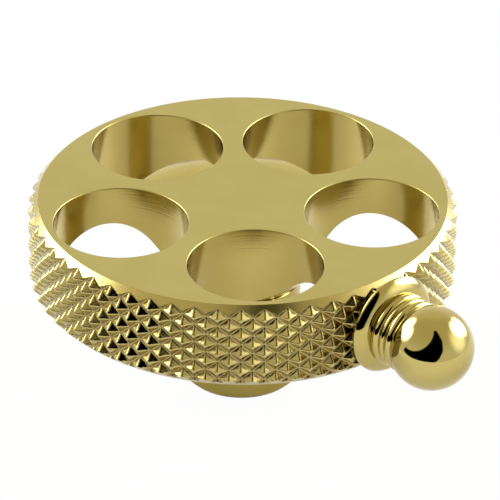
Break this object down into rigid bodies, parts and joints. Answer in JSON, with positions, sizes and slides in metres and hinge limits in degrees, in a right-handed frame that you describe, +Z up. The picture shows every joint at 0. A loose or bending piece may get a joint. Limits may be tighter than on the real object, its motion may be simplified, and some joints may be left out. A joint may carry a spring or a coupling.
{
  "type": "faucet handle",
  "caption": "Brass faucet handle: knurled handwheel with round through holes, a ball knob on its rim and a hub that grips the valve stem.",
  "frame": {"origin": "centre of the hub's lower end, at the mouth of the stem socket", "axes": "+Z up along the wheel's axis, +X along the ball knob"},
  "size_m": [0.0752, 0.0606, 0.0294],
  "materials": {
    "wheel_brass": "polished",
    "hub_brass": "polished",
    "screw_steel": "satin",
    "knob_brass": "polished"
  },
  "bodies": {
    "root": {"wheel": "wheel_brass", "hub": "hub_brass", "set_screw": "screw_steel", "ball_knob": "knob_brass"}
  },
  "joints": []
}
